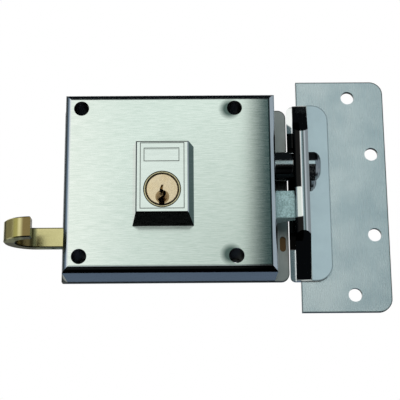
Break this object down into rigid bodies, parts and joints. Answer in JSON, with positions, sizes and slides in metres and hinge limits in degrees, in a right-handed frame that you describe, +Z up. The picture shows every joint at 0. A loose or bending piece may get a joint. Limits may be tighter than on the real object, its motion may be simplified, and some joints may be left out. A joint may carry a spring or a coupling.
{
  "type": "double cylinder rim lock with strike",
  "caption": "Surface-mounted double cylinder door lock with a boxed steel case, thrown round deadbolt, spring latch with brass pull hook, and strike plate with keeper.",
  "frame": {"origin": "centre of the four case screw holes, on the door face behind the base plate", "axes": "+X from the hook across the case to the strike, +Z up the door, -Y out of the door into the room, +Y through the door to the outer cylinder"},
  "size_m": [0.1837, 0.0905, 0.117],
  "materials": {
    "case_cover": "brushed and polished pressed steel",
    "base_plate": "satin steel sheet",
    "bezel": "satin nickel",
    "bezel_screws": "zinc plated steel",
    "inner_cylinder": "nickelled brass",
    "inner_plug": "brass",
    "inner_plug_clip": "spring steel",
    "inner_key_pins": "brass",
    "inner_driver_pins": "nickel silver",
    "drive_pinion": "sintered steel",
    "pinion_bearing": "brass",
    "outer_cylinder": "brass",
    "outer_rosette": "polished nickel",
    "outer_screws": "zinc plated steel",
    "outer_plug": "brass",
    "outer_plug_clip": "spring steel",
    "outer_tail_bar": "steel",
    "outer_key_pins": "brass",
    "outer_driver_pins": "nickel silver",
    "screw_sleeves": "zinc plated steel",
    "bolt_guide": "sand cast brass",
    "guide_screws": "zinc plated steel",
    "spacer_post": "turned steel, riveted ends",
    "guide_post": "turned steel, riveted end",
    "deadbolt": "polished nickel on steel",
    "bolt_carriage": "blanked steel",
    "carriage_rivets": "steel",
    "latch_head": "cast, zinc plated, rough",
    "latch_link": "blanked steel",
    "link_rivets": "steel",
    "pull_bar": "drawn brass, satin",
    "latch_spring": "spring steel",
    "spring_rod": "steel",
    "spring_anchor": "pressed steel",
    "strike_plate": "satin steel sheet",
    "keeper": "polished steel",
    "keeper_rivets": "steel"
  },
  "bodies": {
    "case": {"case_cover": "case_cover", "base_plate": "base_plate", "bezel": "bezel", "bezel_screws": "bezel_screws", "inner_cylinder": "inner_cylinder", "inner_driver_pins": "inner_driver_pins", "screw_sleeves": "screw_sleeves", "bolt_guide": "bolt_guide", "guide_screws": "guide_screws", "spacer_post": "spacer_post", "guide_post": "guide_post", "pinion_bearing": "pinion_bearing", "outer_cylinder": "outer_cylinder", "outer_driver_pins": "outer_driver_pins", "outer_rosette": "outer_rosette", "outer_screws": "outer_screws", "spring_anchor": "spring_anchor", "latch_spring": "latch_spring", "strike_plate": "strike_plate", "keeper": "keeper", "keeper_rivets": "keeper_rivets"},
    "bolt": {"deadbolt": "deadbolt", "bolt_carriage": "bolt_carriage", "carriage_rivets": "carriage_rivets"},
    "latch": {"latch_head": "latch_head", "latch_link": "latch_link", "pull_bar": "pull_bar", "link_rivets": "link_rivets", "spring_rod": "spring_rod"},
    "pinion": {"drive_pinion": "drive_pinion"},
    "inner_plug": {"inner_plug": "inner_plug", "inner_key_pins": "inner_key_pins", "inner_plug_clip": "inner_plug_clip"},
    "outer_plug": {"outer_plug": "outer_plug", "outer_tail_bar": "outer_tail_bar", "outer_key_pins": "outer_key_pins", "outer_plug_clip": "outer_plug_clip"}
  },
  "joints": [
    {"name": "bolt_slide", "type": "slide", "parent": "case", "child": "bolt", "axis": [-1, 0, 0], "range_m": [0, 0.02199]},
    {"name": "latch_slide", "type": "slide", "parent": "case", "child": "latch", "axis": [-1, 0, 0], "range_m": [0, 0.0135], "stiffness_N_per_m": 400, "springref_m": -0.02, "deforming": ["latch_spring"]},
    {"name": "pinion_turn", "type": "hinge", "parent": "case", "child": "pinion", "pos_m": [0.0025, 0, -0.00865], "axis": [0, -1, 0], "range_deg": [-1, 361]},
    {"name": "inner_plug_turn", "type": "hinge", "parent": "case", "child": "inner_plug", "pos_m": [0.0025, 0, -0.00865], "axis": [0, -1, 0], "range_deg": [-1, 361]},
    {"name": "outer_plug_turn", "type": "hinge", "parent": "case", "child": "outer_plug", "pos_m": [0.0025, 0, -0.00865], "axis": [0, -1, 0], "range_deg": [-1, 361]}
  ],
  "couplings": [
    {"joint": "pinion_turn", "follows": "bolt_slide", "rad_per_m": 285.71},
    {"joint": "inner_plug_turn", "follows": "bolt_slide", "rad_per_m": 285.71},
    {"joint": "outer_plug_turn", "follows": "bolt_slide", "rad_per_m": 285.71}
  ]
}
